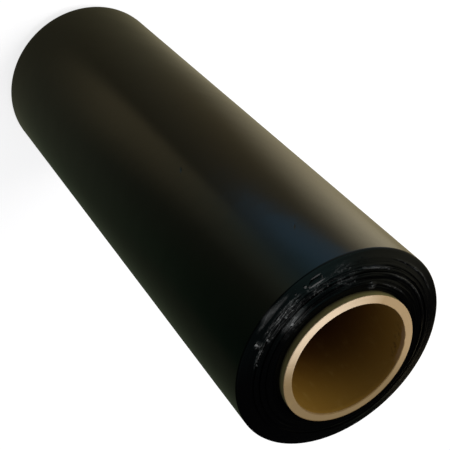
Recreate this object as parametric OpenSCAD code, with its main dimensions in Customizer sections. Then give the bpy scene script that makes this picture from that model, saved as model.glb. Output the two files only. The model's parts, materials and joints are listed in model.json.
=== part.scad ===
// Roll of stretch wrap film: a spiral-wound paperboard core tube with
// the film wound tightly on it. The roll stands on one end of its core.
// Frame: +Z along the core, origin at the centre of the foot of the core.
// All sizes are in millimetres.

/* [Film] */
// Width of the film web, measured on the innermost turns
web_w = 400; // [200:5:600]
// Outside diameter of the wound film
film_od = 137; // [120:1:250]

/* [Core] */
// Bore of the core tube (a 3 inch core)
core_id = 76.2; // [38:0.1:80]
// Wall of the core tube
core_wall = 5.5; // [3:0.5:8]
// How far the core stands out of the innermost turns, at each end
core_overhang = 4.5; // [3:0.5:20]
// Small chamfer that the knife left where it cut the tube to length
core_chamfer = 0.4; // [0.1:0.1:1]

/* [Wound ends] */
// How far the outermost turns are set back from the innermost ones
crown = 5; // [0:0.5:8]
// Exponent of the crown: 1 is a cone, more keeps the middle fuller
crown_power = 1.6; // [1:0.1:3]
// Rounding of the outer turns where the end meets the side
shoulder_r = 1.5; // [0.5:0.5:4]
// Depth of the outermost turns, which lie even, with no bands
even_depth = 9.5; // [5:0.5:10]
// Radial width of one band of turns that lies at one height
band_w = 1.7; // [1:0.05:3]
// Most that a band may be wider or narrower, as a share of that width
band_jitter = 0.25; // [0:0.05:0.3]
// Width of the groove between two bands
groove_w = 0.3; // [0.1:0.05:0.3]
// Depth of that groove
groove_depth = 0.35; // [0.1:0.05:0.8]
// Furthest that a band has wandered along the core
wander = 0.3; // [0:0.05:1]
// Bands that have crept right out at the top, counted inward
ridges = 3; // [0:1:5]
// Bands from one such ridge to the next
ridge_step = 2; // [2:1:4]
// How far a ridge stands above the bands beside it
ridge_rise = 0.6; // [0:0.05:1]
// Seed of the wandering, for another roll off the same winder
winding_seed = 7; // [1:1:99]

/* [Last turn] */
// Step where the last turns of film run out, on the side of the roll
lap_step = 0.2; // [0.1:0.05:0.6]
// Direction of that step round the roll, in degrees from +X
lap_angle = 70; // [0:5:355]

/* [Hidden] */
$fn = 128;

core_r = core_id / 2 + core_wall;
film_r = film_od / 2;
core_len = web_w + 2 * core_overhang;
mid_z = core_len / 2;

// Radius where the bands end and the even turns begin
even_r = film_r - even_depth;
band_n = max(2, round((even_r - core_r) / band_w));
band_pitch = (even_r - core_r) / band_n;
border_shift = rands(-1, 1, band_n + 1, winding_seed);
band_shift = rands(-1, 1, band_n, winding_seed + 1);

// Straight pieces that the even turns and the shoulder are drawn with
even_steps = 2;
shoulder_steps = 4;

// Half the width of the film wound at radius r, and how steeply it falls
function wound_share(r) = (r - core_r) / (film_r - core_r);
function half_w(r) = web_w / 2 - crown * pow(wound_share(r), crown_power);
function half_w_slope(r) =
    crown * crown_power * pow(wound_share(r), crown_power - 1) / (film_r - core_r);

// Radius of the border under band i, where band 0 lies on the core
function border_r(i) =
    core_r + band_pitch * (i + (i > 0 && i < band_n ? band_jitter * border_shift[i] : 0));

// A ridge is the outermost band, and then each one ridge_step further in
function is_ridge(i) =
    (band_n - 1 - i) % ridge_step == 0 && (band_n - 1 - i) / ridge_step < ridges;
function wandered(i) = wander * band_shift[i] + (is_ridge(i) ? ridge_rise : 0);

// One band in the half section: its groove, its inner and its outer edge.
// End 1 is the top and -1 the foot. Every turn keeps its width, so a band
// that stands out at the top is set back by as much at the foot.
function band_outline(i, end) =
    let (
        border = border_r(i),
        inner = border + groove_w / 2,
        outer = border_r(i + 1) - groove_w / 2
    )
    [
        [border, end * (half_w(border) - groove_depth) + wandered(i)],
        [inner, end * half_w(inner) + wandered(i)],
        [outer, end * half_w(outer) + wandered(i)]
    ];

// The even turns from their groove to the shoulder, whose arc starts
// along their slope and ends along the side
shoulder_from = atan(half_w_slope(film_r));
shoulder_in_r = film_r - shoulder_r * (1 - sin(shoulder_from));
shoulder_z = half_w(shoulder_in_r) - shoulder_r * cos(shoulder_from);
function even_outline(end) = [
    [even_r, end * (half_w(even_r) - groove_depth)],
    for (k = [0 : even_steps - 1])
        let (
            start = even_r + groove_w / 2,
            r = start + (shoulder_in_r - start) * k / even_steps
        )
        [r, end * half_w(r)],
    for (k = [0 : shoulder_steps])
        let (a = shoulder_from + (90 - shoulder_from) * k / shoulder_steps)
        [film_r - shoulder_r * (1 - sin(a)), end * (shoulder_z + shoulder_r * cos(a))]
];

// One end of the wound film, from the core to the side
function end_outline(end) =
    concat([for (i = [0 : band_n - 1]) each band_outline(i, end)], even_outline(end));

function reversed(list) = [for (i = [len(list) - 1 : -1 : 0]) list[i]];

// What the far half of the roll lacks. The last turns run out there, so
// its round has a centre half a step to one side: it leaves the other
// half flush and comes back to it one step lower, as a spiral does.
module run_out() {
    clear = 2 * web_w;
    difference() {
        translate([-film_od, -film_od, -clear])
            cube([2 * film_od, film_od, 2 * clear]);
        translate([-lap_step / 2, 0, -2 * clear])
            cylinder(r = film_r - lap_step / 2, h = 4 * clear);
    }
}

module film_roll() {
    color([0.04, 0.04, 0.045])
    translate([0, 0, mid_z])
        rotate([0, 0, lap_angle])
            difference() {
                rotate_extrude()
                    polygon(concat(end_outline(-1), reversed(end_outline(1))));
                run_out();
            }
}

module core_tube() {
    color([0.76, 0.62, 0.45])
    rotate_extrude()
        translate([core_id / 2, 0])
            polygon([
                [core_chamfer, 0],
                [core_wall - core_chamfer, 0],
                [core_wall, core_chamfer],
                [core_wall, core_len - core_chamfer],
                [core_wall - core_chamfer, core_len],
                [core_chamfer, core_len],
                [0, core_len - core_chamfer],
                [0, core_chamfer]
            ]);
}

film_roll();
core_tube();
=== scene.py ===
# %% [markdown]
# # A roll of black stretch wrap
#
# A stretch wrap roll is two things: a paperboard tube, and a few hundred metres of thin film
# wound tightly on it. The sizes and places of both come from the built frame. Here they get
# their looks: the wound ends with their bands of turns, the loose edges of the film, the spiral
# plies of the tube, and the light that a black, glossy thing needs to be seen at all.

# %% Start with the frame
import functools
import json
import math
import bpy
from mathutils import Matrix, Vector


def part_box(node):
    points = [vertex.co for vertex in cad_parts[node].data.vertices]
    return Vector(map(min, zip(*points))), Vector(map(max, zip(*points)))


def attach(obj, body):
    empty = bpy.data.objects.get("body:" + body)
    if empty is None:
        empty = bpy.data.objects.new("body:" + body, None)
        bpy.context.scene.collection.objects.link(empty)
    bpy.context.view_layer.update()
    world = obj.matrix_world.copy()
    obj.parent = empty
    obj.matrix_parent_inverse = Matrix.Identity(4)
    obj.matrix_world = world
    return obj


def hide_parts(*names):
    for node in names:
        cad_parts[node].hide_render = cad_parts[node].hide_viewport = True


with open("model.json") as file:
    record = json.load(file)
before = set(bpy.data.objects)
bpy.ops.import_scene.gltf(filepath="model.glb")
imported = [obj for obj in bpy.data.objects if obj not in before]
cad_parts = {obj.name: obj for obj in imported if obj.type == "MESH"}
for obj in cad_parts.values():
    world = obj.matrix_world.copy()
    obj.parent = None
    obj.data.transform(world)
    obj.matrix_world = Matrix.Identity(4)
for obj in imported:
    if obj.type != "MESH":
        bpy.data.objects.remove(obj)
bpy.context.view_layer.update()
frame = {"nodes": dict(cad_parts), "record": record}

# %% [markdown]
# ## Sizes
#
# Every length is in metres, because the frame is. The main sizes are read from the two built
# nodes and from the bore that the record states, so they can't drift away from what was built.

# %% Read the roll's sizes
MM = 0.001
DEG = math.radians(1)
_, film_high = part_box("film_roll")
_, core_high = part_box("core_tube")
mounts = {mount["name"]: mount for mount in frame["record"]["mounts"]}

FILM_R = film_high.y
CORE_R = core_high.y
BORE_R = mounts["core_bore"]["dims"]["r_mm"] * MM
CORE_TOP = core_high.z
MID_Z = CORE_TOP / 2
print(f"Film {2 * FILM_R / MM:.1f} mm across, core {2 * CORE_R / MM:.1f} mm, bore {2 * BORE_R / MM:.1f} mm")

# %% [markdown]
# ## The camera
#
# The photograph looks down along a roll that lies slantwise across the picture. This roll stands
# on end, so the camera hangs above it and in front, and is turned about its own line of sight
# until the roll lies across the picture in the same way. The place, the turn and the lens were
# worked out from the outlines of the film and the core in the photograph.

# %% Place the camera
CAMERA_PLACE = Vector((0, -461.3, 750.8)) * MM
CAMERA_AIM = Vector((-1.4, 0, 256.5)) * MM
CAMERA_TURN = 136.5 * DEG
LENS_MM = 79.89
SENSOR_MM = 36


def new_object(name, data):
    """An object that shows data, at the origin of the scene."""
    made = bpy.data.objects.new(name, data)
    bpy.context.scene.collection.objects.link(made)
    return made


def looking(place, aim):
    """The matrix of a camera or a lamp that stands at place and looks at aim."""
    turn = (Vector(aim) - Vector(place)).to_track_quat("-Z", "Y").to_matrix().to_4x4()
    return Matrix.Translation(place) @ turn


camera_data = bpy.data.cameras.new("photo_camera")
camera_data.lens = LENS_MM
camera_data.sensor_width = SENSOR_MM
camera = new_object("photo_camera", camera_data)
camera.matrix_world = looking(CAMERA_PLACE, CAMERA_AIM) @ Matrix.Rotation(CAMERA_TURN, 4, "Z")
bpy.context.scene.camera = camera
print("Camera", round((CAMERA_AIM - CAMERA_PLACE).length, 3), "m from the roll's axis")

# %% [markdown]
# ## Reckoning with nodes
#
# Both the shapes and the finishes below are formulas. A formula made of Math nodes is hard to
# read, so this small class lets the sockets of a node tree be added and multiplied like ordinary
# numbers: each sign adds the one node that it needs. What has no sign goes by the name that the
# Math node gives it.


# %% Nodes that read like sums
def feed(tree, socket, value):
    """Wires a flow or a node's output into a socket, or writes a plain value on it."""
    if isinstance(value, Flow):
        value = value.socket
    if isinstance(value, bpy.types.NodeSocket):
        tree.links.new(value, socket)
    else:
        socket.default_value = value


def add_node(tree, kind, inputs=None, **settings):
    """Adds a node, sets its properties, and feeds its inputs."""
    node = tree.nodes.new(kind)
    for name, value in settings.items():
        setattr(node, name, value)
    for key, value in (inputs or {}).items():
        feed(tree, node.inputs[key], value)
    return node


def flow_of(tree, kind, inputs=None, **settings):
    """What flows out of a new node of that kind."""
    return Flow(tree, add_node(tree, kind, inputs, **settings).outputs[0])


class Flow:
    """What flows through a node tree. Where that is a number, it can be reckoned with."""

    def __init__(self, tree, socket):
        self.tree = tree
        self.socket = socket

    def math(self, operation, *others):
        """This number and the others, put through one Math node."""
        inputs = dict(enumerate((self, *others)))
        return flow_of(self.tree, "ShaderNodeMath", inputs, operation=operation)

    __add__ = functools.partialmethod(math, "ADD")
    __sub__ = functools.partialmethod(math, "SUBTRACT")
    __mul__ = functools.partialmethod(math, "MULTIPLY")
    __truediv__ = functools.partialmethod(math, "DIVIDE")
    __gt__ = functools.partialmethod(math, "GREATER_THAN")
    __lt__ = functools.partialmethod(math, "LESS_THAN")

    def between(self, start, end, low=0.0, high=1.0, smooth=True):
        """Goes from low to high as this number goes from start to end."""
        kind = "SMOOTHSTEP" if smooth else "LINEAR"
        inputs = {"Value": self, "From Min": start, "From Max": end, "To Min": low, "To Max": high}
        return flow_of(self.tree, "ShaderNodeMapRange", inputs, interpolation_type=kind)

    def fades(self, start, end):
        """Goes from 1 to 0 as this number goes from start to end."""
        return self.between(start, end, 1.0, 0.0)


def split(tree, vector):
    """The three numbers of a vector."""
    node = add_node(tree, "ShaderNodeSeparateXYZ", {0: vector})
    return [Flow(tree, out) for out in node.outputs]


def join(tree, x, y, z):
    """A vector from three numbers."""
    return flow_of(tree, "ShaderNodeCombineXYZ", {0: x, 1: y, 2: z})


def noise(tree, spot, detail=2.0, roughness=0.5, scale=1.0):
    """Smooth noise from -1 to 1, at a spot that is a vector or three numbers."""
    vector = join(tree, *spot) if isinstance(spot, tuple) else spot
    inputs = {"Vector": vector, "Scale": scale, "Detail": detail, "Roughness": roughness}
    return (flow_of(tree, "ShaderNodeTexNoise", inputs) - 0.5) * 2.0


def distance(one_way, other_way):
    """The length of the straight line that spans two ways at right angles."""
    return (one_way * one_way + other_way * other_way).math("SQRT")


def total(flows):
    """All the flows, added up."""
    return sum(flows[1:], flows[0])


# %% [markdown]
# A node group has inputs and outputs with names, and so has a geometry tree, which a modifier
# fills. The modifier knows the inputs only by an identifier, so a helper looks that up from the
# name. When the shape is done, the modifier's result is kept as a plain mesh and the modifier
# goes.


# %% Make a group, and fill and finish a geometry tree
def new_group(kind, name, takes, gives):
    """A new group. Takes and gives name its sockets, such as {"Mask": "Float"}."""
    tree = bpy.data.node_groups.new(name, kind)
    for side, sockets in (("INPUT", takes), ("OUTPUT", gives)):
        for socket, sort in sockets.items():
            tree.interface.new_socket(name=socket, in_out=side, socket_type=f"NodeSocket{sort}")
    given = tree.nodes.new("NodeGroupInput")
    wires = {out.name: Flow(tree, out) for out in given.outputs if out.name}
    return tree, wires, tree.nodes.new("NodeGroupOutput")


def geometry_tree(name, others, numbers):
    """A new geometry tree with an input for each name. Numbers are its inputs of kind Float."""
    shape = {"Geometry": "Geometry"}
    takes = {**shape, **others, **dict.fromkeys(numbers, "Float")}
    return new_group("GeometryNodeTree", name, takes, shape)


def kept(tree, geometry, name, value):
    """The same geometry, with value stored on its points under that name."""
    node = add_node(tree, "GeometryNodeStoreNamedAttribute", {"Geometry": geometry, "Name": name})
    feed(tree, next(s for s in node.inputs if s.name == "Value" and s.enabled), value)
    return Flow(tree, node.outputs[0])


def recalled(tree, name):
    """The number that was stored on each point under that name."""
    node = add_node(tree, "GeometryNodeInputNamedAttribute", {"Name": name})
    return Flow(tree, next(s for s in node.outputs if s.enabled))


def give_out(tree, out, geometry, finish):
    """Ends a geometry tree: everything becomes real mesh and takes its material."""
    real = flow_of(tree, "GeometryNodeRealizeInstances", {0: geometry})
    smooth = flow_of(tree, "GeometryNodeSetShadeSmooth", {"Geometry": real})
    painted = flow_of(tree, "GeometryNodeSetMaterial", {"Geometry": smooth, "Material": finish})
    feed(tree, out.inputs["Geometry"], painted)


SHARP_EDGE = 40 * DEG


def grown(name, mesh, tree, values):
    """The plain mesh object that the tree makes of mesh, with the tree's inputs set to values."""
    piece = new_object(name, mesh)
    modifier = piece.modifiers.new(name, "NODES")
    modifier.node_group = tree
    for item in tree.interface.items_tree:
        if item.name in values:
            modifier[item.identifier] = values[item.name]
    seen = piece.evaluated_get(bpy.context.evaluated_depsgraph_get())
    shape = bpy.data.meshes.new_from_object(seen)
    piece.modifiers.clear()
    piece.data = shape
    shape.name = name
    shape.set_sharp_from_angle(angle=SHARP_EDGE)
    triangles = sum(len(face.vertices) - 2 for face in shape.polygons)
    print(f"{name}: {len(shape.vertices)} points, {triangles} triangles")
    return piece


# %% [markdown]
# ## Effects that both finishes share
#
# The film and the paperboard are both wound round the same line, so both finishes need to know
# how far out, how far round and how far from an end a point is. And both have been handled. Each
# of these two is a node group, built once and placed in both materials.


# %% Where a point lies on the roll
def roll_place_group():
    """Radius, angle round, and depth below the nearer end of the core."""
    tree, given, out = new_group(
        "ShaderNodeTree", "roll_place", {"Position": "Vector", "Middle": "Float"},
        {"Radius": "Float", "Angle": "Float", "Depth": "Float"})
    x, y, z = split(tree, given["Position"])
    depth = (z - given["Middle"]).math("ABSOLUTE") * -1.0 + given["Middle"]
    found = {"Radius": distance(x, y), "Angle": y.math("ARCTAN2", x), "Depth": depth}
    for name, value in found.items():
        feed(tree, out.inputs[name], value)
    return tree


# %% Marks of handling
def handling_group():
    """A mask of soft smudges that are broken up by small specks."""
    tree, given, out = new_group(
        "ShaderNodeTree", "handling_marks",
        {"Position": "Vector", "Smudge size": "Float", "Speck size": "Float", "Amount": "Float"},
        {"Mask": "Float"})

    def at_scale(size, detail):
        return flow_of(tree, "ShaderNodeTexNoise", {
            "Vector": given["Position"], "Scale": size.math("POWER", -1.0), "Detail": detail})

    smudges = at_scale(given["Smudge size"], 3.0).between(0.45, 0.75)
    specks = at_scale(given["Speck size"], 2.0).between(0.35, 0.65, 0.4, 1.0)
    feed(tree, out.inputs["Mask"], smudges * specks * given["Amount"])
    return tree


roll_place = roll_place_group()
handling_marks = handling_group()
print("Shared groups:", [group.name for group in bpy.data.node_groups])


# %% Start a material, and place the groups in it
def place_group(tree, group, values):
    """The outputs of a group that is placed in a material's tree, by name."""
    node = add_node(tree, "ShaderNodeGroup", values, node_tree=group)
    return {out.name: Flow(tree, out) for out in node.outputs}


def start_finish(name, specular):
    """A material, its tree and shader, the Object coordinates and the place on the roll."""
    finish = bpy.data.materials.new(name)
    finish.use_nodes = True
    tree = finish.node_tree
    shader = tree.nodes["Principled BSDF"]
    shader.inputs["Specular IOR Level"].default_value = specular
    coordinates = add_node(tree, "ShaderNodeTexCoord")
    position = Flow(tree, coordinates.outputs["Object"])
    place = place_group(tree, roll_place, {"Position": position, "Middle": MID_Z})
    return finish, tree, shader, position, place["Radius"], place["Angle"], place["Depth"]


def blend(tree, share, first, second):
    """The first colour where share is 0, and the second where it is 1."""
    ends = {}
    for slot, colour in ((1, first), (2, second)):
        ends[slot] = colour if isinstance(colour, Flow) else (*colour, 1)
    return flow_of(tree, "ShaderNodeMixRGB", {0: share, **ends})


def roughen(tree, shader, height):
    """Feeds the shader's normal with a bump of that height in mm."""
    bump = flow_of(tree, "ShaderNodeBump", {"Height": height, "Distance": MM})
    feed(tree, shader.inputs["Normal"], bump)


# %% [markdown]
# ## The film's finish
#
# Stretch film is black because soot is mixed into it, so its own colour is close to nothing. The
# side is one smooth, glossy turn. The ends are the cut edges of many turns: rougher, with fine
# rings, and whitish where the edges were crushed and the stretched film turned pale. The film's
# piece carries that damage as two attributes: "crushed" for fine pale lines, and one for an even
# whitening, so paint and shape agree. Both are partly painted highlight: the pale lines stand in
# for glints on the crushed edges, and the haze also paints the glow of the light on the end.
#
# A bump texture could have drawn all of it. The crushed places are real shape here instead, and
# only the finest rings and scratches are bump.

# %% Film colours and gloss
FILM_BLACK = (0.0007, 0.0007, 0.0008)
FILM_WHITENING_AND_GLINT = (0.34, 0.35, 0.35)
FILM_SPECULAR = 0.25
SIDE_ROUGHNESS = 0.19
END_ROUGHNESS = 0.23
END_UNTIL = 9.7 * MM  # depth below the end of the core where the finish of the film's end fades
SIDE_FROM = 11.0 * MM  # and where the side's has taken over
LAST_BAND = 60.5 * MM  # radius past which the turns lie even

# %% [markdown]
# Two small nicks show in the last turn. Each is hardly wider than one cell of the grid that the
# side is drawn with, too little to hold its shape, so they are in the bump.

# %% Nicks in the last turn
NICKS = [(-94, 266, 0.4), (-115, 362, 0.12)]  # degrees round, height and depth in mm
NICK_WIDE = 0.9 * MM
NICK_TALL = 3.4 * MM
NICK_LEAN = 0.5


def nicked(angle, height):
    """How deep the nicks in the last turn are, in mm."""
    nicks = []
    for degrees, place, deep in NICKS:
        up = height - place * MM
        across = (angle - degrees * DEG) * FILM_R - up * NICK_LEAN
        nicks.append(distance(across / NICK_WIDE, up / NICK_TALL).between(0.0, 1.0, deep, 0.0))
    return total(nicks)


# %% Film finish
def make_film_finish():
    """Black, glossy film, with rougher, ringed ends that are pale where they were crushed: whitened film
    and painted highlight.
    """
    finish, tree, shader, position, radius, angle, depth = start_finish(
        "black_stretch_film", FILM_SPECULAR)
    along = angle * (1 / math.tau)
    _, _, height = split(tree, position)
    crushed, hazed = (
        Flow(tree, add_node(tree, "ShaderNodeAttribute", attribute_name=name).outputs["Fac"])
        for name in ("crushed", "hazed"))
    on_end = depth.fades(END_UNTIL, SIDE_FROM)

    # Crushed turns are pale along fine scratches, which shorter marks cross: whitened film and painted
    # glints in one
    scratch = noise(tree, (along * 45.0, radius * 620.0, depth * 100.0), 1.0)
    crossing = noise(tree, (along * 190.0, radius * 130.0, 7.0), 1.0)
    streak = scratch.math("ABSOLUTE").fades(0.0, 0.16)
    hatch = crossing.math("ABSOLUTE").fades(0.0, 0.2)
    whitening_and_glints = streak * (hatch * 0.3 + 0.13) + hatch * 0.03 + 0.012
    # Painted highlight: this paleness stands in for glints on the crushed edges and for the glow of the
    # light on the end, as well as for whitened film
    pale = (crushed * whitening_and_glints + hazed * (streak * 0.3 + 0.85)).math("MINIMUM", 1.0) * on_end
    feed(tree, shader.inputs["Base Color"], blend(tree, pale, FILM_BLACK, FILM_WHITENING_AND_GLINT))

    # Smudges and pale places are duller
    smudged = place_group(tree, handling_marks, {
        "Position": position, "Smudge size": 60 * MM, "Speck size": 4 * MM, "Amount": 1.0})["Mask"]
    dull = on_end * (END_ROUGHNESS - SIDE_ROUGHNESS) + smudged * 0.03 + pale * 0.12
    feed(tree, shader.inputs["Roughness"], dull + SIDE_ROUGHNESS)

    # The ends have fine rings, and the side has faint lines round it and slack places
    banded = radius.between(LAST_BAND, LAST_BAND + 2 * MM, 1.0, 0.15)
    rings = noise(tree, (radius * 2400.0, along * 30.0, 0.0), 2.0) * on_end * banded * 0.035
    draw = noise(tree, (depth * 330.0, along * 5.0, 4.0), 3.0, 0.6) * 0.006
    slack = noise(tree, position, 2.0, 0.5, 38.0) * 0.10
    roughen(tree, shader, rings + draw + slack + streak * crushed * 0.03 - nicked(angle, height))
    return finish


film_finish = make_film_finish()
print("Film finish:", len(film_finish.node_tree.nodes), "nodes")

# %% [markdown]
# ## The paperboard's finish
#
# The core is wound from strips of brown board that are glued in a spiral. Three faces show: the
# cut rim, which is pale because the knife laid the inside of each ply open; the bore, in plain
# brown board; and a narrow, darker stretch of the outer wall. One material covers all three and
# picks them by radius and depth, so the tones meet exactly where the faces do.
#
# The core has been used: just inside its mouth the board is scuffed and has a stain. That is
# colour more than shape, so it is painted. The edges of its rim are painted brown on one side as
# shade, and painted shade also darkens the rim on two sides, the bore further in and the outer
# wall towards the film.

# %% Board tones and where they lie
# Painted shade: the darker tan and grey of the rim on two of its sides, the brown along its edges, the deep
# bore tone and the wall's shade; the grey also marks the plies
RIM_PALE = (0.84, 0.67, 0.48)
RIM_SHADED_TAN = (0.415, 0.29, 0.155)
RIM_GREY_PLY_AND_SHADE = (0.24, 0.168, 0.083)
EDGE_SHADE_BROWN = (0.15, 0.09, 0.03)
BORE_BROWN = (0.245, 0.132, 0.018)
BORE_PAINTED_SHADE = (0.075, 0.022, 0.003)
SCUFFED_BOARD = (0.33, 0.20, 0.10)
STAIN = (0.14, 0.072, 0.01)
WALL_OLIVE = (0.14, 0.125, 0.045)
WALL_SHADE = (0.022, 0.018, 0.008)
FIBRE_BROWN = (0.09, 0.055, 0.02)
STREAK_TAN = (0.46, 0.33, 0.10)
SHADED_TAN_SIDE = 90  # the sides are degrees round the core
SHADED_GREY_SIDE = 35
EDGE_SHADE_SIDE = 62
SCUFF_SIDE = 140
EDGE_SHADE_INNER = 0.8 * MM
EDGE_SHADE_OUTER = 0.7 * MM
PLY_THICK = 0.5 * MM
BOARD_ROUGHNESS = 0.84
BOARD_SPECULAR = 0.3


def toward(angle, side):
    """1 on that side of the roll, 0 a quarter turn away, and -1 opposite."""
    return (angle - side * DEG).math("COSINE")


# %% Board finish
def make_board_finish():
    """Dull brown board: the cut rim, the bore and the outer wall in one material."""
    finish, tree, shader, position, radius, angle, depth = start_finish(
        "core_paperboard", BOARD_SPECULAR)
    on_rim = depth.fades(0.3 * MM, 0.7 * MM)
    outside = radius > (BORE_R + CORE_R) / 2
    ragged = noise(tree, position, 2.0, 0.6, 330.0)
    plies = noise(tree, (radius * (1 / PLY_THICK), angle * 0.6, 0.0), 1.0)
    fibres = noise(tree, position, 3.0, 0.65, 1400.0)
    streaks = noise(tree, (angle * 7.0, depth * 90.0, radius * 100.0), 3.0, 0.6)

    # The rim: painted shade makes it tan on one side and grey on another, it is stained, and painted shade
    # darkens both its edges on one side
    stained = place_group(tree, handling_marks, {
        "Position": position, "Smudge size": 20 * MM, "Speck size": 1.2 * MM, "Amount": 1.0})["Mask"]
    shaded_tan = toward(angle, SHADED_TAN_SIDE).between(-1.0, -0.45, smooth=False)
    shaded_grey = toward(angle, SHADED_GREY_SIDE).between(-0.3, 0.5)
    edge_shade_side = toward(angle, EDGE_SHADE_SIDE).between(0.1, 0.9)
    scuff_side = toward(angle, SCUFF_SIDE).between(0.92, 0.985)
    # Painted shade along the rim's inner and outer edges on one side
    from_bore = radius - BORE_R - edge_shade_side * EDGE_SHADE_INNER
    from_bore = from_bore - (ragged + 0.6) * (scuff_side * 0.5 * MM + 0.3 * MM)
    from_film = (radius - CORE_R) * -1.0 - edge_shade_side * EDGE_SHADE_OUTER
    wear_and_edge_shade = from_bore.math("MINIMUM", from_film).fades(-0.3 * MM, 0.3 * MM)
    rim = blend(tree, shaded_tan, RIM_PALE, RIM_SHADED_TAN)
    rim = blend(tree, (shaded_grey + stained * 0.2).math("MINIMUM", 1.0), rim, RIM_GREY_PLY_AND_SHADE)
    rim = blend(tree, plies.between(-0.2, 0.7) * 0.16, rim, RIM_GREY_PLY_AND_SHADE)
    rim = blend(tree, wear_and_edge_shade * 0.8, rim, EDGE_SHADE_BROWN)

    # The bore: painted shade makes it darker further in, with the scuff and the stain at its mouth
    shaded_bore_tone = blend(tree, depth.between(4 * MM, 75 * MM), BORE_BROWN, BORE_PAINTED_SHADE)
    scuffed = scuff_side * (depth + ragged * 1.5 * MM).fades(2.5 * MM, 3.8 * MM)
    spotted = scuff_side * depth.between(3.5 * MM, 5 * MM) * depth.fades(7 * MM, 10 * MM)
    shaded_bore_tone = blend(tree, scuffed * 0.7, shaded_bore_tone, SCUFFED_BOARD)
    shaded_bore_tone = blend(tree, spotted * ragged.between(0.05, 0.3) * 0.9, shaded_bore_tone, STAIN)

    # The outer wall, with painted shade that darkens it towards the film, and then dark fibres and tan
    # streaks over everything
    shaded_wall_tone = blend(tree, depth.between(2.4 * MM, 5.4 * MM), WALL_OLIVE, WALL_SHADE)
    board = blend(tree, on_rim, blend(tree, outside, shaded_bore_tone, shaded_wall_tone), rim)
    board = blend(tree, fibres.between(0.1, 0.8) * 0.2, board, FIBRE_BROWN)
    board = blend(tree, streaks.between(0.0, 0.9) * 0.22, board, STREAK_TAN)
    feed(tree, shader.inputs["Base Color"], board)
    feed(tree, shader.inputs["Roughness"], fibres * 0.06 + BOARD_ROUGHNESS)
    roughen(tree, shader, fibres * 0.03 + plies * on_rim * 0.06 + streaks * 0.02)
    return finish


board_finish = make_board_finish()
print("Board finish:", len(board_finish.node_tree.nodes), "nodes")

# %% [markdown]
# ## The wound film
#
# The film's outline is read from the built node: it is a line of points from the core to the
# side at the top, and the same at the foot. The points are drawn closer together, and Geometry
# Nodes sweep the line round the roll. That keeps the built form, and the same tree then adds
# what no turned part has: each band of turns wavers a little on its way round, and where the
# roll was knocked, the edges of its turns are crushed.

# %% Read the outline of the wound film
LAP_ANGLE = 70 * DEG  # this and the next are as in the built film
LAP_STEP = 0.2 * MM
LAP_CLEAR = 5 * DEG  # nothing is read nearer to the lap than this


def wound_outline():
    """The half section of the built film as (radius, height): the top, then the foot."""
    seen = set()
    for point in frame["nodes"]["film_roll"].data.vertices:
        x, y, z = point.co
        past_lap = (math.atan2(y, x) - LAP_ANGLE) % math.tau
        if LAP_CLEAR < past_lap < math.pi - LAP_CLEAR:
            seen.add((round(math.hypot(x, y), 6), round(z, 6)))
    top = sorted(point for point in seen if point[1] > MID_Z)
    foot = sorted((point for point in seen if point[1] < MID_Z), reverse=True)
    return top, foot


def drawn_closer(line, gap):
    """The same line with points at most gap apart."""
    points = []
    for start, end in zip(line, line[1:]):
        pieces = max(1, math.ceil(math.dist(start, end) / gap))
        for k in range(pieces):
            share = k / pieces
            points.append(tuple(a + (b - a) * share for a, b in zip(start, end)))
    return points + [line[-1]]


top_line, foot_line = wound_outline()
TOP_GAP = 0.22 * MM
SIDE_GAP = 7 * MM
FOOT_GAP = 0.7 * MM
outline = drawn_closer(top_line, TOP_GAP)
outline += drawn_closer([top_line[-1], foot_line[0]], SIDE_GAP)[1:-1]
outline += drawn_closer(foot_line, FOOT_GAP)
outline += [top_line[0]]
outline_mesh = bpy.data.meshes.new("wound_outline")
outline_mesh.from_pydata([(r, 0, z) for r, z in outline], [], [])
print(len(top_line), "points in the built outline,", len(outline), "in the close one")

# %% [markdown]
# Where the roll was knocked was read off the photograph and is written down as a short list of
# patches, each with its direction round the roll, its radius, and how far it reaches both ways.

# %% Where the edges of the turns are crushed
# Painted highlight: the haze column paints the glow of the light on the end, most in the first two patches,
# as well as whitened film
CRUSHED = [  # degrees round and reach, radius and reach in mm, lines, haze, slump in mm
    (-82.5, 11, 53.6, 3.8, 0.3, 0.13, 0.45),
    (-81, 5, 52.7, 1.8, 0.0, 0.06, 0.0),
    (-82, 15, 51.0, 5.0, 0.12, 0.012, 0.2),
    (-80, 16, 59.2, 3.4, 0.9, 0.02, 0.15),
    (-81, 15, 61.8, 1.3, 0.3, 0.035, 0.1),
    (-79, 12, 66.1, 1.9, 0.2, 0.08, 0.1),
    (-77.5, 6, 67.3, 1.5, 0.1, 0.07, 0.0),
    (-104, 8, 58.5, 4.2, 0.3, 0.0, 0.1),
    (-56, 9, 59.7, 1.0, 0.6, 0.02, 0.15),
    (-61, 2.5, 62.5, 2.6, 0.5, 0.03, 0.3),
    (-120, 9, 57.0, 8.0, 0.2, 0.0, 0.0),
    (-141, 12, 58.3, 0.9, 0.5, 0.04, 0.4),
    (-142, 4, 47.0, 2.6, 0.4, 0.0, 0.2),
    (-170, 22, 54.8, 0.9, 0.22, 0.02, 0.5),
    (-162, 15, 48.2, 0.7, 0.25, 0.02, 0.3),
    (-174, 22, 63.2, 0.9, 0.2, 0.005, 0.25)]


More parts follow.
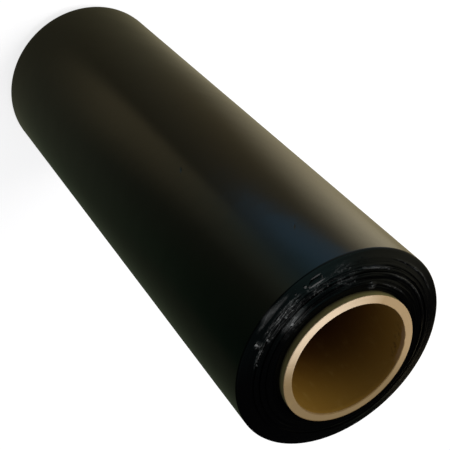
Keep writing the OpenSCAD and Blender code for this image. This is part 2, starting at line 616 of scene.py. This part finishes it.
def crushed_fields(angle, radius):
    """How crushed the turns are there, how much whitening and painted highlight they carry, and how far
    they slumped out.
    """
    patches, clouds, mounds = [], [], []
    for degrees, reach, place, width, lines, glow_and_haze, height in CRUSHED:
        turned = (angle - degrees * DEG).math("WRAP", math.pi, -math.pi)
        far = distance(turned / (reach * DEG), (radius - place * MM) / (width * MM))
        patches.append(far.between(0.45, 1.15, lines, 0.0))
        clouds.append(far.between(0.0, 1.1, glow_and_haze, 0.0))
        mounds.append(far.between(0.0, 1.2, height * MM, 0.0))
    crushed = functools.reduce(lambda one, other: one.math("MAXIMUM", other), patches)
    return crushed, total(clouds), total(mounds)


# %% [markdown]
# The tree lays out a flat grid, one column for each step round the roll and one row for each
# point of the outline, and then rolls it up. The core tube is made in the same way further on,
# so both steps are helpers.


# %% Lay out a grid and roll it up
MERGE_GAP = 0.002 * MM


def laid_grid(tree, given):
    """A flat grid, with the column, the radius and the height of each of its points."""
    grid = flow_of(tree, "GeometryNodeMeshGrid", {
        "Size X": 1.0, "Size Y": 1.0, "Vertices X": given["Steps round"], "Vertices Y": given["Rows"]})
    place = flow_of(tree, "GeometryNodeInputPosition")
    across, down, _ = split(tree, place)
    column = ((across + 0.5) * (given["Steps round"] - 1.0)).math("ROUND")
    row = ((down + 0.5) * (given["Rows"] - 1.0)).math("ROUND")
    line = flow_of(tree, "GeometryNodeSampleIndex", {
        "Geometry": given["Geometry"], "Value": place, "Index": row}, data_type="FLOAT_VECTOR")
    radius, _, height = split(tree, line)
    return grid, column, radius, height


def roll_up(tree, out, grid, place, finish):
    """Ends a tree: the grid's points go to their place, and the round is closed."""
    moved = flow_of(tree, "GeometryNodeSetPosition", {"Geometry": grid, "Position": place})
    closed = flow_of(tree, "GeometryNodeMergeByDistance", {"Geometry": moved, "Distance": MERGE_GAP})
    give_out(tree, out, closed, finish)


# %% [markdown]
# The last step round is a very short one: there the last turn of film ends, and the round comes
# back to its full radius.


# %% A tree that winds the outline into a roll
def wound_film_tree():
    """The outline swept round, with bands that waver and edges that are crushed."""
    tree, given, out = geometry_tree(
        "wound_film", {"Steps round": "Int", "Rows": "Int", "Finish": "Material"},
        ("Film radius", "Core radius", "Middle", "Lap angle", "Lap step", "Waver", "Turn ridge",
         "Crumple", "Nibble", "Slack", "Seed"))
    grid, column, radius, height = laid_grid(tree, given)

    # How far round each column lies, counted from the edge of the last turn
    last = column > given["Steps round"] - 1.5
    step_angle = given["Lap step"] / given["Film radius"]
    round_share = (column / (given["Steps round"] - 2.0)).math("MINIMUM", 1.0)
    past_lap = round_share * (step_angle * -1.0 + math.tau) + last * step_angle
    angle = past_lap + given["Lap angle"]
    east = angle.math("COSINE")
    north = angle.math("SINE")
    outward = (height > given["Middle"]) * 2.0 - 1.0

    def round_noise(round_scale, radial_scale, shift):
        """Noise that differs from turn to turn and between the two ends."""
        return noise(tree, (
            east * round_scale + given["Seed"], north * round_scale + shift,
            radius * radial_scale + outward * 3.0), 1.0)

    def creased(along_mm, out_mm, shift):
        """Sharp crests, with their spacing round the roll and across it in mm."""
        along = angle * given["Film radius"] / (along_mm * MM)
        spot = (along + shift, radius / (out_mm * MM), given["Seed"])
        return noise(tree, spot, 1.0).math("ABSOLUTE") * -2.0 + 1.0

    # The second half of the way round comes in by one step, and slack film by a little more
    far_half = (past_lap > math.pi) * (last * -1.0 + 1.0)
    lost = given["Lap step"] * 0.5 * (past_lap.math("COSINE") + 1.0) * far_half
    slack = noise(tree, (east * 1.7, north * 1.7 + given["Seed"], height * 22.0), 1.0)
    lost = lost + (slack + 1.0) * given["Slack"] * (last * -1.0 + 1.0) * (round_share > 0.001)
    radius = radius.math("MINIMUM", given["Film radius"] - lost)

    # The turns waver where they are free to, and are crumpled and nibbled where they are crushed
    depth = (radius - given["Core radius"]) / (given["Film radius"] - given["Core radius"])
    free = depth.between(0.02, 0.15) * depth.between(0.62, 0.72, 1.0, 0.12)
    crushed, hazed, slump = crushed_fields(angle, radius)
    at_top = outward > 0.0
    crushed = crushed * at_top
    waver = round_noise(1.3, 420.0, 0.0) * given["Waver"]
    ridge = round_noise(2.5, 2600.0, 11.0) * given["Turn ridge"]
    crumple = creased(13.0, 0.9, 0.0) * 0.4 + creased(4.0, 0.5, 31.0) * 0.3
    crumple = crumple + creased(1.9, 2.8, 57.0) * 0.3
    height = height + (waver + ridge) * free * outward + slump * at_top
    height = height + crumple * given["Crumple"] * crushed
    nibbled = (creased(3.0, 4.0, 83.0) + 1.0) * given["Nibble"] * crushed * depth.between(0.85, 1.0)
    radius = radius - nibbled

    # The crushed lines and the haze both carry painted highlight as well as whitened film
    marked = kept(tree, grid, "crushed", crushed)
    marked = kept(tree, marked, "hazed", hazed * at_top)
    roll_up(tree, out, marked, join(tree, radius * east, radius * north, height), given["Finish"])
    return tree


wound_film = grown("wound_film", outline_mesh, wound_film_tree(), {
    "Steps round": 355, "Rows": len(outline), "Film radius": FILM_R, "Core radius": CORE_R,
    "Middle": MID_Z, "Lap angle": LAP_ANGLE, "Lap step": LAP_STEP, "Waver": 0.25 * MM,
    "Turn ridge": 0.07 * MM, "Crumple": 0.24 * MM, "Nibble": 0.2 * MM, "Slack": 0.05 * MM, "Seed": 5.0,
    "Finish": film_finish})
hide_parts("film_roll")
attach(wound_film, "root")

# %% [markdown]
# ## Loose edges of film
#
# In the crushed places the edges of single turns stand up or lie over like torn ribbon, and
# each one catches the light. There are some dozens of them and no two are alike, so Geometry
# Nodes scatter them: points that each hold a place and a shape, one thin closed ribbon on every
# point, and then a formula that bends each ribbon round the roll and drops it on the film. A ray
# cast straight down finds the film under it, so none of them hangs in the air.


# %% Points that each hold one ribbon
OWN = ("own_angle", "own_radius", "own_length", "own_width", "own_tilt", "own_bow", "own_pale")


def chance(tree, low, high, seed):
    """A number from low to high for each point, the same on every run."""
    node = add_node(tree, "FunctionNodeRandomValue", data_type="FLOAT")
    wanted = {"Min": low, "Max": high, "Seed": seed}
    for socket in node.inputs:
        if socket.enabled and socket.name in wanted:
            feed(tree, socket, wanted[socket.name])
    return Flow(tree, next(socket for socket in node.outputs if socket.enabled))


def ribbon_points(tree, given):
    """Random points, and the chosen ones that come in, each with its value of all OWN's names."""
    points = flow_of(tree, "GeometryNodePoints", {"Count": given["Count"]})
    ranges = ((given["From angle"], given["To angle"]), (given["Inner radius"], given["Outer radius"]),
              (given["Shortest"], given["Longest"]), (given["Width"] * 0.5, given["Width"] * 1.5),
              (given["Least tilt"], given["Most tilt"]), (given["Bow"] * 0.2, given["Bow"]),
              (0.0, given["Most pale and glint"]))
    for salt, (name, (low, high)) in enumerate(zip(OWN, ranges)):
        points = kept(tree, points, name, chance(tree, low, high, given["Seed"] + float(salt)))
    chosen = flow_of(tree, "GeometryNodeMeshToPoints", {"Mesh": given["Geometry"]})
    both = add_node(tree, "GeometryNodeJoinGeometry", {0: points})
    feed(tree, both.inputs[0], chosen)
    return both.outputs[0]


def ribbons_on(tree, given, points):
    """A closed block for each point, all at the origin, to be bent into ribbons later."""
    ribbon = flow_of(tree, "GeometryNodeMeshCube", {
        "Size": (1, 1, 1), "Vertices X": given["Along"], "Vertices Y": given["Across"],
        "Vertices Z": 2})
    placed = flow_of(tree, "GeometryNodeInstanceOnPoints", {"Points": points, "Instance": ribbon})
    return flow_of(tree, "GeometryNodeRealizeInstances", {0: placed})


def film_under(tree, given, east, north):
    """The height of the film straight below, where a ray from above hits it."""
    film = add_node(tree, "GeometryNodeObjectInfo", {"Object": given["Film"]})
    drop = add_node(tree, "GeometryNodeRaycast", {
        "Target Geometry": film.outputs["Geometry"],
        "Source Position": join(tree, east, north, given["Above"]),
        "Ray Direction": (0, 0, -1), "Ray Length": 0.1})
    return split(tree, drop.outputs["Hit Position"])[2]


# %% A tree of loose film edges
def loose_edges_tree():
    """Thin ribbons that are bent round the roll and lie on the film, pale along their rims: whitened film
    and painted glint.
    """
    tree, given, out = geometry_tree(
        "loose_film_edges",
        {"Film": "Object", "Count": "Int", "Along": "Int", "Across": "Int", "Finish": "Material"},
        ("From angle", "To angle", "Inner radius", "Outer radius", "Shortest", "Longest", "Width",
         "Thickness", "Least tilt", "Most tilt", "Bow", "Wave", "Turned-up rim", "Most pale and glint",
         "Bare middle", "Film radius", "Above", "Seed"))
    ribbons = ribbons_on(tree, given, ribbon_points(tree, given))
    along, across, through = split(tree, flow_of(tree, "GeometryNodeInputPosition"))
    own_angle, own_radius, own_length, own_width, own_tilt, own_bow, own_pale = (
        recalled(tree, name) for name in OWN)

    # Each ribbon is widest in its middle, leans outward by its tilt, and waves a little
    middle = along * along * -4.0 + 1.0
    width = own_width * (middle * 0.8 + 0.2)
    side = across * width
    thick = through * given["Thickness"]
    lean = own_tilt.math("COSINE")
    rise = own_tilt.math("SINE")
    angle = own_angle + along * own_length / own_radius
    wave_spot = (along * own_length * 900.0, own_angle * 40.0, across)
    wave = noise(tree, wave_spot, 1.0) * given["Wave"]
    radius = own_radius + side * lean - thick * rise + wave
    radius = radius.math("MINIMUM", given["Film radius"] - given["Thickness"])
    east = angle.math("COSINE") * radius
    north = angle.math("SINE") * radius

    # It bows up from the film, with its rim turned up further still
    edge = along.math("ABSOLUTE").math("MAXIMUM", across.math("ABSOLUTE")) * 2.0
    turned_up = edge.math("POWER", 5.0) * given["Turned-up rim"]
    lift = (side + width * 0.5) * rise + thick * lean + middle * own_bow + turned_up
    height = film_under(tree, given, east, north) + lift
    dropped = flow_of(tree, "GeometryNodeSetPosition", {
        "Geometry": ribbons, "Position": join(tree, east, north, height)})
    # Painted highlight: the pale rims stand in for glints on the torn edges as well as for whitened film
    rim = edge.math("POWER", 8.0)
    hazed = (rim * 0.4 + 0.6) * own_pale * (given["Bare middle"] * (rim - 1.0) + 1.0)
    give_out(tree, out, kept(tree, dropped, "hazed", hazed), given["Finish"])
    return tree


# %% Scatter the loose edges
# The pale column is partly painted glint
LOOSE = {  # name: count, degrees from and to, radius from and to in mm, lengths, width, tilts, pale, seed
    "loose_edges_front": (34, -96, -66, 55.5, 62.5, (2, 8), 0.36, (3, 22), 0.11, 1.0),
    "loose_edges_middle": (16, -116, -96, 54, 60, (0.5, 1.4), 0.5, (10, 50), 0.12, 4.0),
    "loose_edges_left": (8, -64, -49, 58.8, 60.4, (0.8, 2), 0.6, (10, 40), 0.12, 2.0),
    "loose_edges_right": (18, -196, -122, 56, 64.5, (0.6, 2.5), 0.4, (15, 60), 0.04, 3.0)}
no_points = bpy.data.meshes.new("no_points")
COMMON = {"Film": wound_film, "Film radius": FILM_R, "Above": CORE_TOP, "Thickness": 0.08 * MM,
          "Bare middle": 0.0, "Along": 9, "Across": 4, "Finish": film_finish}
loose_tree = loose_edges_tree()
for name, (count, start, end, inner, outer, lengths, width, tilts, pale, seed) in LOOSE.items():
    edges = grown(name, no_points, loose_tree, {
        **COMMON, "Count": count, "From angle": start * DEG, "To angle": end * DEG,
        "Inner radius": inner * MM, "Outer radius": outer * MM, "Shortest": lengths[0] * MM,
        "Longest": lengths[1] * MM, "Width": width * MM, "Least tilt": tilts[0] * DEG,
        "Most tilt": tilts[1] * DEG, "Bow": 0.25 * MM, "Wave": 0.12 * MM,
        "Turned-up rim": 0.0, "Most pale and glint": pale, "Seed": seed})
    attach(edges, "root")

# %% [markdown]
# A few torn edges are bright enough to be known one by one. Their points aren't random: they
# come in as a handful of points that carry the same values, and the same tree makes ribbons of
# them.


# %% Torn edges that are known one by one
def chosen_points(name, rows):
    """Points that carry one value of each of OWN's names: lengths in mm, turns in degrees."""
    points = bpy.data.meshes.new(name)
    points.from_pydata([(0, 0, 0)] * len(rows), [], [])
    for column, own in enumerate(OWN):
        unit = {"own_angle": DEG, "own_tilt": DEG, "own_pale": 1.0}.get(own, MM)
        attribute = points.attributes.new(own, "FLOAT", "POINT")
        attribute.data.foreach_set("value", [row[column] * unit for row in rows])
    return points


# The paleness is partly painted glint: the brightest edges stand in for glints on torn film
TORN = [  # degrees round, radius, length, width in mm, tilt in degrees, bow in mm, paleness
    (-61, 63.9, 1.6, 2.4, 20, 0.3, 0.75),
    (-65.3, 59.3, 1.3, 1.5, 20, 0.3, 0.9),
    (-57.5, 60.3, 3.0, 0.8, 25, 0.15, 0.22),
    (-54, 59.8, 2.2, 0.9, 25, 0.15, 0.25),
    (-49.4, 59.3, 1.6, 1.2, 25, 0.2, 0.32),
    (-69.4, 61.8, 1.2, 1.2, 20, 0.15, 0.2),
    (-104.5, 61.0, 10.0, 1.0, 12, 0.1, 0.42),
    (-105.5, 64.8, 6.5, 0.9, 12, 0.1, 0.28),
    (-98.5, 63.3, 1.8, 1.8, 15, 0.15, 0.3),
    (-100, 61.9, 1.4, 1.0, 15, 0.15, 0.14),
    (-108.3, 62.9, 0.8, 2.6, 15, 0.1, 0.12),
    (-105, 56.5, 1.5, 1.4, 25, 0.2, 0.5),
    (-109.4, 56.2, 1.2, 1.2, 25, 0.2, 0.25),
    (-100.4, 56.2, 1.1, 1.1, 25, 0.2, 0.18),
    (-97.5, 56.0, 1.0, 1.0, 25, 0.2, 0.14),
    (-92.8, 56.4, 1.1, 1.2, 25, 0.2, 0.2),
    (-92.7, 63.5, 1.4, 1.0, 20, 0.15, 0.16),
    (-115.4, 55.1, 1.0, 1.0, 25, 0.2, 0.14),
    (-127, 52.2, 1.2, 1.5, 25, 0.2, 0.14),
    (-81, 61.7, 8.0, 0.7, 10, 0.08, 0.06),
    (-81, 58.6, 1.6, 1.3, 15, 0.1, 0.55),
    (-79.8, 52.4, 2.4, 1.6, 6, 0.1, 0.75),
    (-140, 49.2, 1.2, 1.6, 20, 0.2, 0.2),
    (-142, 47.2, 1.0, 2.0, 20, 0.2, 0.35),
    (-143.5, 45.9, 1.0, 1.4, 20, 0.2, 0.2),
    (-133, 58.7, 3.0, 0.8, 20, 0.12, 0.12),
    (-139, 58.4, 4.0, 0.8, 20, 0.12, 0.2),
    (-146, 58.0, 5.0, 0.8, 20, 0.12, 0.25),
    (-150.5, 57.6, 2.0, 0.8, 20, 0.12, 0.14)]
torn_edges = grown("torn_edges", chosen_points("torn_points", TORN), loose_tree, {
    **COMMON, "Count": 0, "Wave": 0.1 * MM, "Turned-up rim": 0.0})
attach(torn_edges, "root")

# %% [markdown]
# One turn's edge is folded over into a small square flap. The same tree makes it: a single wide
# ribbon that lies flat, with its rim turned up and painted pale, as whitened film and painted
# highlight, and its middle still black.

# %% The folded flap
FLAP = [(-104.3, 62.9, 7.6, 3.2, 3, 0.08, 0.08)]  # as in TORN
flap = grown("folded_flap", chosen_points("flap_point", FLAP), loose_tree, {
    **COMMON, "Count": 0, "Thickness": 0.1 * MM, "Wave": 0.1 * MM, "Turned-up rim": 0.15 * MM,
    "Bare middle": 1.0, "Along": 25, "Across": 13})
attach(flap, "root")

# %% [markdown]
# ## The core tube
#
# The built tube is plain. On the real one a strip of board runs round and round in a spiral, and
# the edges of the innermost and outermost strips meet in a seam that can be followed from end to
# end. A groove cut across a grid of straight columns would come out jagged. So this grid is
# twisted until its columns run along the seam, and two narrow columns between them are the seam.

# %% Half section of the tube
RIM_STEPS = 12
WALL_GAP = 3 * MM
CHAMFER = 0.4 * MM
CHAMFER_STEPS = 3


def tube_outline():
    """The tube's section as (radius, height), from the bore at the foot up and round."""
    turns = [k / CHAMFER_STEPS * math.pi / 2 for k in range(CHAMFER_STEPS + 1)]
    inner = [(BORE_R + CHAMFER * (1 - math.cos(turn)), CORE_TOP - CHAMFER * (1 - math.sin(turn)))
             for turn in turns]
    outer = [(BORE_R + CORE_R - r, z) for r, z in reversed(inner)]
    start, end = inner[-1][0], outer[0][0]
    rim = [(start + (end - start) * k / RIM_STEPS, CORE_TOP) for k in range(1, RIM_STEPS)]
    upper = inner + rim + outer
    lower = [(r, CORE_TOP - z) for r, z in reversed(upper)]
    bore_wall = drawn_closer([lower[-1], upper[0]], WALL_GAP)[1:-1]
    outer_wall = drawn_closer([upper[-1], lower[0]], WALL_GAP)[1:-1]
    return bore_wall + upper + outer_wall + lower + [bore_wall[0]]


section = tube_outline()
section_mesh = bpy.data.meshes.new("tube_section")
section_mesh.from_pydata([(r, 0, z) for r, z in section], [], [])
print(len(section), "points in the tube's section")


# %% A tree that twists the section into a spiral-wound tube
PLY_LEAD = 143 * MM
SEAM_WIDTH = 0.8 * MM
SEAM_DEPTH = 0.22 * MM
RIPPLE = 0.04 * MM


def core_tube_tree():
    """The tube's section swept round in a twist, with a seam in it and a roughly cut rim."""
    tree, given, out = geometry_tree(
        "spiral_core_tube", {"Steps round": "Int", "Rows": "Int", "Finish": "Material"},
        ("Bore radius", "Core radius", "Length", "Lead", "Seam width", "Seam depth", "Ply",
         "Rim roughness", "Seed"))
    grid, column, radius, height = laid_grid(tree, given)

    # Two narrow steps close the round, with the seam between them, and all twists with height
    seam_angle = given["Seam width"] / given["Bore radius"]
    wide = given["Steps round"] - 3.0
    past_seam = (column / wide).math("MINIMUM", 1.0) * (seam_angle * -1.0 + math.tau)
    past_seam = past_seam + (column - wide).math("MAXIMUM", 0.0) * seam_angle * 0.5
    angle = past_seam + height / given["Lead"] * math.tau
    east = angle.math("COSINE")
    north = angle.math("SINE")

    in_seam = (column > wide + 0.5) * (column < wide + 1.5)
    middle = (given["Bore radius"] + given["Core radius"]) * 0.5
    into_wall = (radius < middle) * 2.0 - 1.0
    from_end = (height - given["Length"] * 0.5).math("ABSOLUTE") * -1.0 + given["Length"] * 0.5
    on_wall = from_end.between(0.5 * MM, 1.0 * MM)
    sunk = in_seam * given["Seam depth"] * (on_wall * 0.7 + 0.3)

    # The rim is worn down unevenly: ply by ply, and in small burrs
    rim = from_end.fades(0.0, 0.6 * MM)
    upward = (height > given["Length"] * 0.5) * 2.0 - 1.0
    ply = noise(tree, (radius / given["Ply"], east * 2.0, north * 2.0 + given["Seed"]), 1.0)
    burr = noise(tree, (east * 26.0, north * 26.0, radius / given["Ply"] * 0.5), 2.0)
    wear_and_edge_shade = (ply * 0.6 + burr * 0.4 + 1.0) * given["Rim roughness"] * rim
    height = height - (wear_and_edge_shade + in_seam * rim * given["Seam depth"]) * upward
    ripple = noise(tree, (east * 3.0, north * 3.0, height * 40.0), 1.0)
    radius = radius + (sunk + (ripple + 1.0) * RIPPLE * on_wall) * into_wall
    roll_up(tree, out, grid, join(tree, radius * east, radius * north, height), given["Finish"])
    return tree


core_tube = grown("spiral_core", section_mesh, core_tube_tree(), {
    "Steps round": 184, "Rows": len(section), "Bore radius": BORE_R, "Core radius": CORE_R,
    "Length": CORE_TOP, "Lead": PLY_LEAD, "Seam width": SEAM_WIDTH, "Seam depth": SEAM_DEPTH,
    "Ply": PLY_THICK, "Rim roughness": 0.06 * MM, "Seed": 3.0, "Finish": board_finish})
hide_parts("core_tube")
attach(core_tube, "root")

# %% [markdown]
# ## Floor and light
#
# The roll stands on a plain pale floor, in the light of soft boxes and a dim sky. The floor glows
# a little to the camera alone, so that it comes out white and still keeps the roll's shadow.

# %% Floor
STAGE_HALF = 6.0
FLOOR_GREY = (0.5, 0.5, 0.5, 1)
FLOOR_SEEN = (0.42, 0.42, 0.43, 1)
FLOOR_GLOW = 0.78


def flat_stage(name, height):
    """A large square at that height, apart from the roll: it is attached to no body."""
    mesh = bpy.data.meshes.new(name)
    corners = [(-1, -1), (1, -1), (1, 1), (-1, 1)]
    mesh.from_pydata([(x * STAGE_HALF, y * STAGE_HALF, height) for x, y in corners], [], [(0, 1, 2, 3)])
    sheet = new_object(name, mesh)
    return sheet


def bare_finish(name):
    """A material with no nodes in it yet."""
    finish = bpy.data.materials.new(name)
    finish.use_nodes = True
    finish.node_tree.nodes.clear()
    return finish, finish.node_tree


floor = flat_stage("floor", 0)
floor_finish, tree = bare_finish("pale_floor")
path = add_node(tree, "ShaderNodeLightPath")
pale = flow_of(tree, "ShaderNodeBsdfDiffuse", {"Color": FLOOR_GREY})
shown = flow_of(tree, "ShaderNodeBsdfDiffuse", {"Color": FLOOR_SEEN})
glow = flow_of(tree, "ShaderNodeEmission", {"Color": (1, 1, 1, 1), "Strength": FLOOR_GLOW})
lit = flow_of(tree, "ShaderNodeAddShader", {0: shown, 1: glow})
seen = flow_of(tree, "ShaderNodeMixShader", {0: path.outputs["Is Camera Ray"], 1: pale, 2: lit})
add_node(tree, "ShaderNodeOutputMaterial", {"Surface": seen})
floor.data.materials.append(floor_finish)
print("Floor:", 2 * STAGE_HALF, "m wide")

# %% [markdown]
# A black, glossy roll shows little of its own. What is seen is what it mirrors, and a wall that
# stands on end mirrors the floor. A photographer would lay a graded card round it, cream on the
# window side, dark on the other, with a blue patch in front for the sky. This one is there for
# the film's gloss alone: neither the camera nor diffuse light sees it.

# %% The card's tones
CARD_TONES = [  # how far across, in metres, and the tone there
    (-0.50, (0.60, 0.51, 0.32)), (-0.36, (0.46, 0.38, 0.21)), (-0.24, (0.38, 0.31, 0.17)),
    (-0.12, (0.28, 0.25, 0.15)), (-0.05, (0.21, 0.19, 0.11)), (0.05, (0.17, 0.17, 0.11)),
    (0.15, (0.13, 0.145, 0.095)), (0.28, (0.075, 0.11, 0.065)), (0.45, (0.03, 0.06, 0.035))]
CARD_START = CARD_TONES[0][0]
CARD_END = CARD_TONES[-1][0]
CARD_DARK = (0.065, 0.08, 0.05)
CARD_BESIDE = (0.52, 0.46, 0.30)
BROWN_FRONT = (0.68, 0.58, 0.33)
GREEN_FRONT = (0.38, 0.44, 0.32)
FRONT_LINE = ((-0.13, -0.40), (-0.02, -0.12))  # the ends of a line on the floor, in metres
BLUE_SKY = (0.42, 0.80, 1.15)
BLUE_DEEP = (0.20, 0.48, 0.56)
BLUE_LINE = ((-0.40, -0.23), (-0.12, -0.345))
WINDOW_LIGHT = (1.26, 1.12, 0.80)
WINDOW_PLACE = (-0.62, 0.14)
WINDOW_SQUEEZE = 1.3  # its light is that much narrower front to back than across
STREAK_ROOT = (-0.06, -0.035)  # the place that the streaks in that light fan out from


def past_line(x, y, line, blur):
    """0 on the left of the line from its start to its end and 1 on its right, softly."""
    start, end = line
    length = math.dist(start, end)
    normal = ((end[1] - start[1]) / length, (start[0] - end[0]) / length)
    off = (x - start[0]) * normal[0] + (y - start[1]) * normal[1]
    return off.between(-blur, blur)


def across_tone(tree, x):
    """The tone that CARD_TONES gives from the window side to the dark side."""
    grade = add_node(tree, "ShaderNodeValToRGB", {
        "Fac": x.between(CARD_START, CARD_END, smooth=False)})
    stops = grade.color_ramp.elements
    while len(stops) < len(CARD_TONES):
        stops.new(0.5)
    for stop, (across, tone) in zip(stops, CARD_TONES):
        stop.position = (across - CARD_START) / (CARD_END - CARD_START)
        stop.color = (*tone, 1)
    return Flow(tree, grade.outputs[0])


# %% A graded card round the roll
def card_tone(tree):
    """The tone across the card, with patches of dark, tan, brown and blue, and the window."""
    spot = add_node(tree, "ShaderNodeTexCoord")
    x, y, _ = split(tree, spot.outputs["Object"])
    mottle = noise(tree, (x * 14.0, y * 14.0, 1.0), 3.0, 0.6)

    behind = y.between(-0.12, 0.04) * x.between(0.02, 0.10)
    beside = y.between(-0.06, 0.06) * x.fades(-0.10, -0.05) * x.between(-0.34, -0.20)
    toned = blend(tree, behind, across_tone(tree, x), CARD_DARK)
    toned = blend(tree, beside * 0.6, toned, CARD_BESIDE)

    streak = past_line(x, y, FRONT_LINE, 0.025)
    streak = streak * y.fades(-0.19, -0.08) * x.fades(-0.06, 0.16)
    front = blend(tree, y.fades(-0.44, -0.22), BROWN_FRONT, GREEN_FRONT)
    toned = blend(tree, streak * (mottle * 0.2 + 0.95), toned, front)

    blue = past_line(x, y, BLUE_LINE, 0.035) * x.fades(-0.30, 0.02)
    sky = blend(tree, y.fades(-0.46, -0.36), BLUE_SKY, BLUE_DEEP)
    toned = blend(tree, blue * (mottle * 0.3 + 0.9), toned, sky)

    far = distance(x - WINDOW_PLACE[0], (y - WINDOW_PLACE[1]) * WINDOW_SQUEEZE)
    swept = (y - STREAK_ROOT[1]).math("ARCTAN2", x - STREAK_ROOT[0])
    streaks = noise(tree, (swept * 10.0, 0.0, 2.0), 2.0, 0.6) * 0.5 + 1.0
    window = far.fades(0.10, 0.48) * streaks
    return flow_of(tree, "ShaderNodeMixRGB", {
        0: window, 1: toned, 2: (*WINDOW_LIGHT, 1)}, blend_type="ADD")


card = flat_stage("graded_card", 0.5 * MM)
card.visible_camera = False
card.visible_diffuse = False
card.visible_shadow = False
card_finish, tree = bare_finish("graded_card")
bright = flow_of(tree, "ShaderNodeEmission", {"Color": card_tone(tree)})
add_node(tree, "ShaderNodeOutputMaterial", {"Surface": bright})
card.data.materials.append(card_finish)
print("Card:", len(tree.nodes), "nodes, seen in reflections alone")

# %% [markdown]
# One large soft box on the window side gives the light and the shadow, and a small one overhead
# lights the rim and the ends a little more. They are as bright as it takes for a colour to render
# about as it is written. Neither is seen in reflections: a lamp mirrored in black film would be a
# hard white patch.


# %% Soft boxes
def soft_box(name, place, aim, size, power, colour=(1, 1, 1)):
    """A square, soft lamp at place that faces aim, and that nothing mirrors."""
    lamp = bpy.data.lights.new(name, "AREA")
    lamp.shape = "RECTANGLE"
    lamp.size = size
    lamp.size_y = size
    lamp.energy = power
    lamp.color = colour
    box = new_object(name, lamp)
    box.matrix_world = looking(place, aim)
    box.visible_glossy = False
    print(f"{name}: {power} W, {size} m wide")


soft_box("key_box", (-0.80, 0.10, 1.70), (0, 0, 0.3), size=0.8, power=16, colour=(1.0, 0.98, 0.95))
soft_box("top_box", (0.14, 0.14, 1.55), (0, 0, 0.4), size=0.22, power=1.8)

# %% [markdown]
# The sky is three skies in one. The camera sees it white, as a backdrop. All diffuse light sees a
# dim, even grey. And what is mirrored sees a dark room: a window on one side, a tan wall beside
# it and a teal part high up. In a white room, black film would look grey.

# %% Sky
SKY_DIM = (0.32, 0.32, 0.33)
SKY_DARK = (0.004, 0.004, 0.0045)
SKY_WINDOW = (0.55, 0.54, 0.48)
SKY_WALL = (0.36, 0.35, 0.25)
SKY_HIGH = (0.21, 0.41, 0.40)

world = bpy.data.worlds.new("studio")
bpy.context.scene.world = world
world.use_nodes = True
tree = world.node_tree
tree.nodes.clear()
path = add_node(tree, "ShaderNodeLightPath")
direction = add_node(tree, "ShaderNodeTexCoord")
east, north, up = split(tree, direction.outputs["Generated"])
window = east.fades(-0.95, -0.35) * up.fades(0.3, 0.8)
wall = north.between(0.2, 0.4) * north.between(0.66, 0.86, 1.0, 0.04) * east.fades(-0.40, -0.30)
high = north.fades(0.34, 0.50) * up.between(0.5, 0.8) * east.between(-0.14, 0.04, 1.0, 0.22)
mirrored = blend(tree, high, SKY_DARK, SKY_HIGH)
mirrored = blend(tree, wall, mirrored, SKY_WALL)
mirrored = blend(tree, window * (wall * -1.0 + 1.0), mirrored, SKY_WINDOW)
dim = blend(tree, Flow(tree, path.outputs["Is Glossy Ray"]), SKY_DIM, mirrored)
seen = blend(tree, Flow(tree, path.outputs["Is Camera Ray"]), dim, (1, 1, 1))
sky = flow_of(tree, "ShaderNodeBackground", {"Color": seen})
add_node(tree, "ShaderNodeOutputWorld", {"Surface": sky})
bpy.context.scene.view_settings.view_transform = "Standard"
print("Sky:", len(tree.nodes), "nodes")
